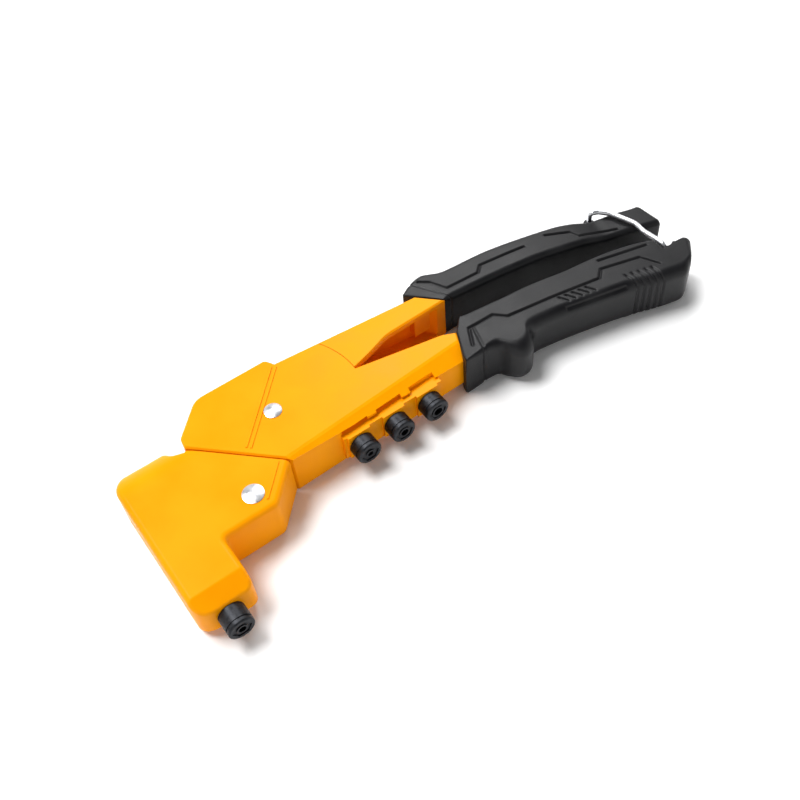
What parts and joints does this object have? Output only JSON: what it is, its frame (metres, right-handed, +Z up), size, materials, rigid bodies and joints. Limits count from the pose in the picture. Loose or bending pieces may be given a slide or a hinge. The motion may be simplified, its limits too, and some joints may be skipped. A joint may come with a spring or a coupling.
{
  "type": "hand riveter",
  "caption": "Hand riveter with a turning angled head, closed handles held by a wire bail, soft grips and spare nozzles on its underside.",
  "frame": {"origin": "centre of the footprint on the surface that the tool lies on, on its side", "axes": "+X from the head to the grips, +Y from the nozzles to the lever, +Z up out of the side face"},
  "size_m": [0.28, 0.098, 0.0246],
  "materials": {
    "yellow_paint": "semi-gloss powder coat",
    "black_grip": "satin moulded elastomer",
    "blackened_steel": "black oxide",
    "plated_steel": "bright zinc plate",
    "machined_steel": "turned and oiled"
  },
  "bodies": {
    "frame": {"body_casting": "yellow_paint", "swivel_bush": "machined_steel", "seam_washer": "machined_steel", "retaining_nut": "machined_steel", "pivot_pin": "plated_steel", "opening_spring": "machined_steel", "lower_grip": "black_grip", "spare_nozzle_small": "blackened_steel", "spare_nozzle_medium": "blackened_steel", "spare_nozzle_large": "blackened_steel"},
    "lever": {"lever": "yellow_paint", "upper_grip": "black_grip", "rod_pin": "machined_steel"},
    "bail": {"wire_bail": "plated_steel"},
    "rod": {"pull_rod": "machined_steel"},
    "head": {"head_casting": "yellow_paint", "crank_pin": "plated_steel", "outlet_sleeve": "plated_steel", "nozzle_seat": "machined_steel", "fitted_nozzle": "blackened_steel", "jaw_spring": "machined_steel"},
    "crank": {"crank": "machined_steel"},
    "jaw_carrier": {"jaw_case": "machined_steel", "jaws": "machined_steel", "jaw_pusher": "machined_steel"}
  },
  "joints": [
    {"name": "lever_hinge", "type": "hinge", "parent": "frame", "child": "lever", "pos_m": [-0.06875, 0.0226, 0.01175], "axis": [0, 0, 1], "range_deg": [0, 30]},
    {"name": "bail_hinge", "type": "hinge", "parent": "lever", "child": "bail", "pos_m": [0.1148, 0.0299, 0.01175], "axis": [0, 0, 1], "range_deg": [0, 110]},
    {"name": "head_swivel", "type": "hinge", "parent": "frame", "child": "head", "pos_m": [-0.0919, 0.0131, 0.01175], "axis": [0.7071, 0.7071, 0], "continuous": true},
    {"name": "rod_slide", "type": "slide", "parent": "frame", "child": "rod", "axis": [-0.7071, -0.7071, 0], "range_m": [0, 0.00501]},
    {"name": "crank_hinge", "type": "hinge", "parent": "head", "child": "crank", "pos_m": [-0.0963, -0.0078, 0.01175], "axis": [0, 0, 1], "range_deg": [0, 24.77]},
    {"name": "jaw_slide", "type": "slide", "parent": "head", "child": "jaw_carrier", "axis": [0, -1, 0], "range_m": [0, 0.01365]}
  ],
  "couplings": [
    {"joint": "rod_slide", "follows": "lever_hinge", "m_per_rad": 0.0095493},
    {"joint": "crank_hinge", "follows": "lever_hinge", "ratio": 0.82487},
    {"joint": "jaw_slide", "follows": "lever_hinge", "m_per_rad": 0.026056}
  ]
}
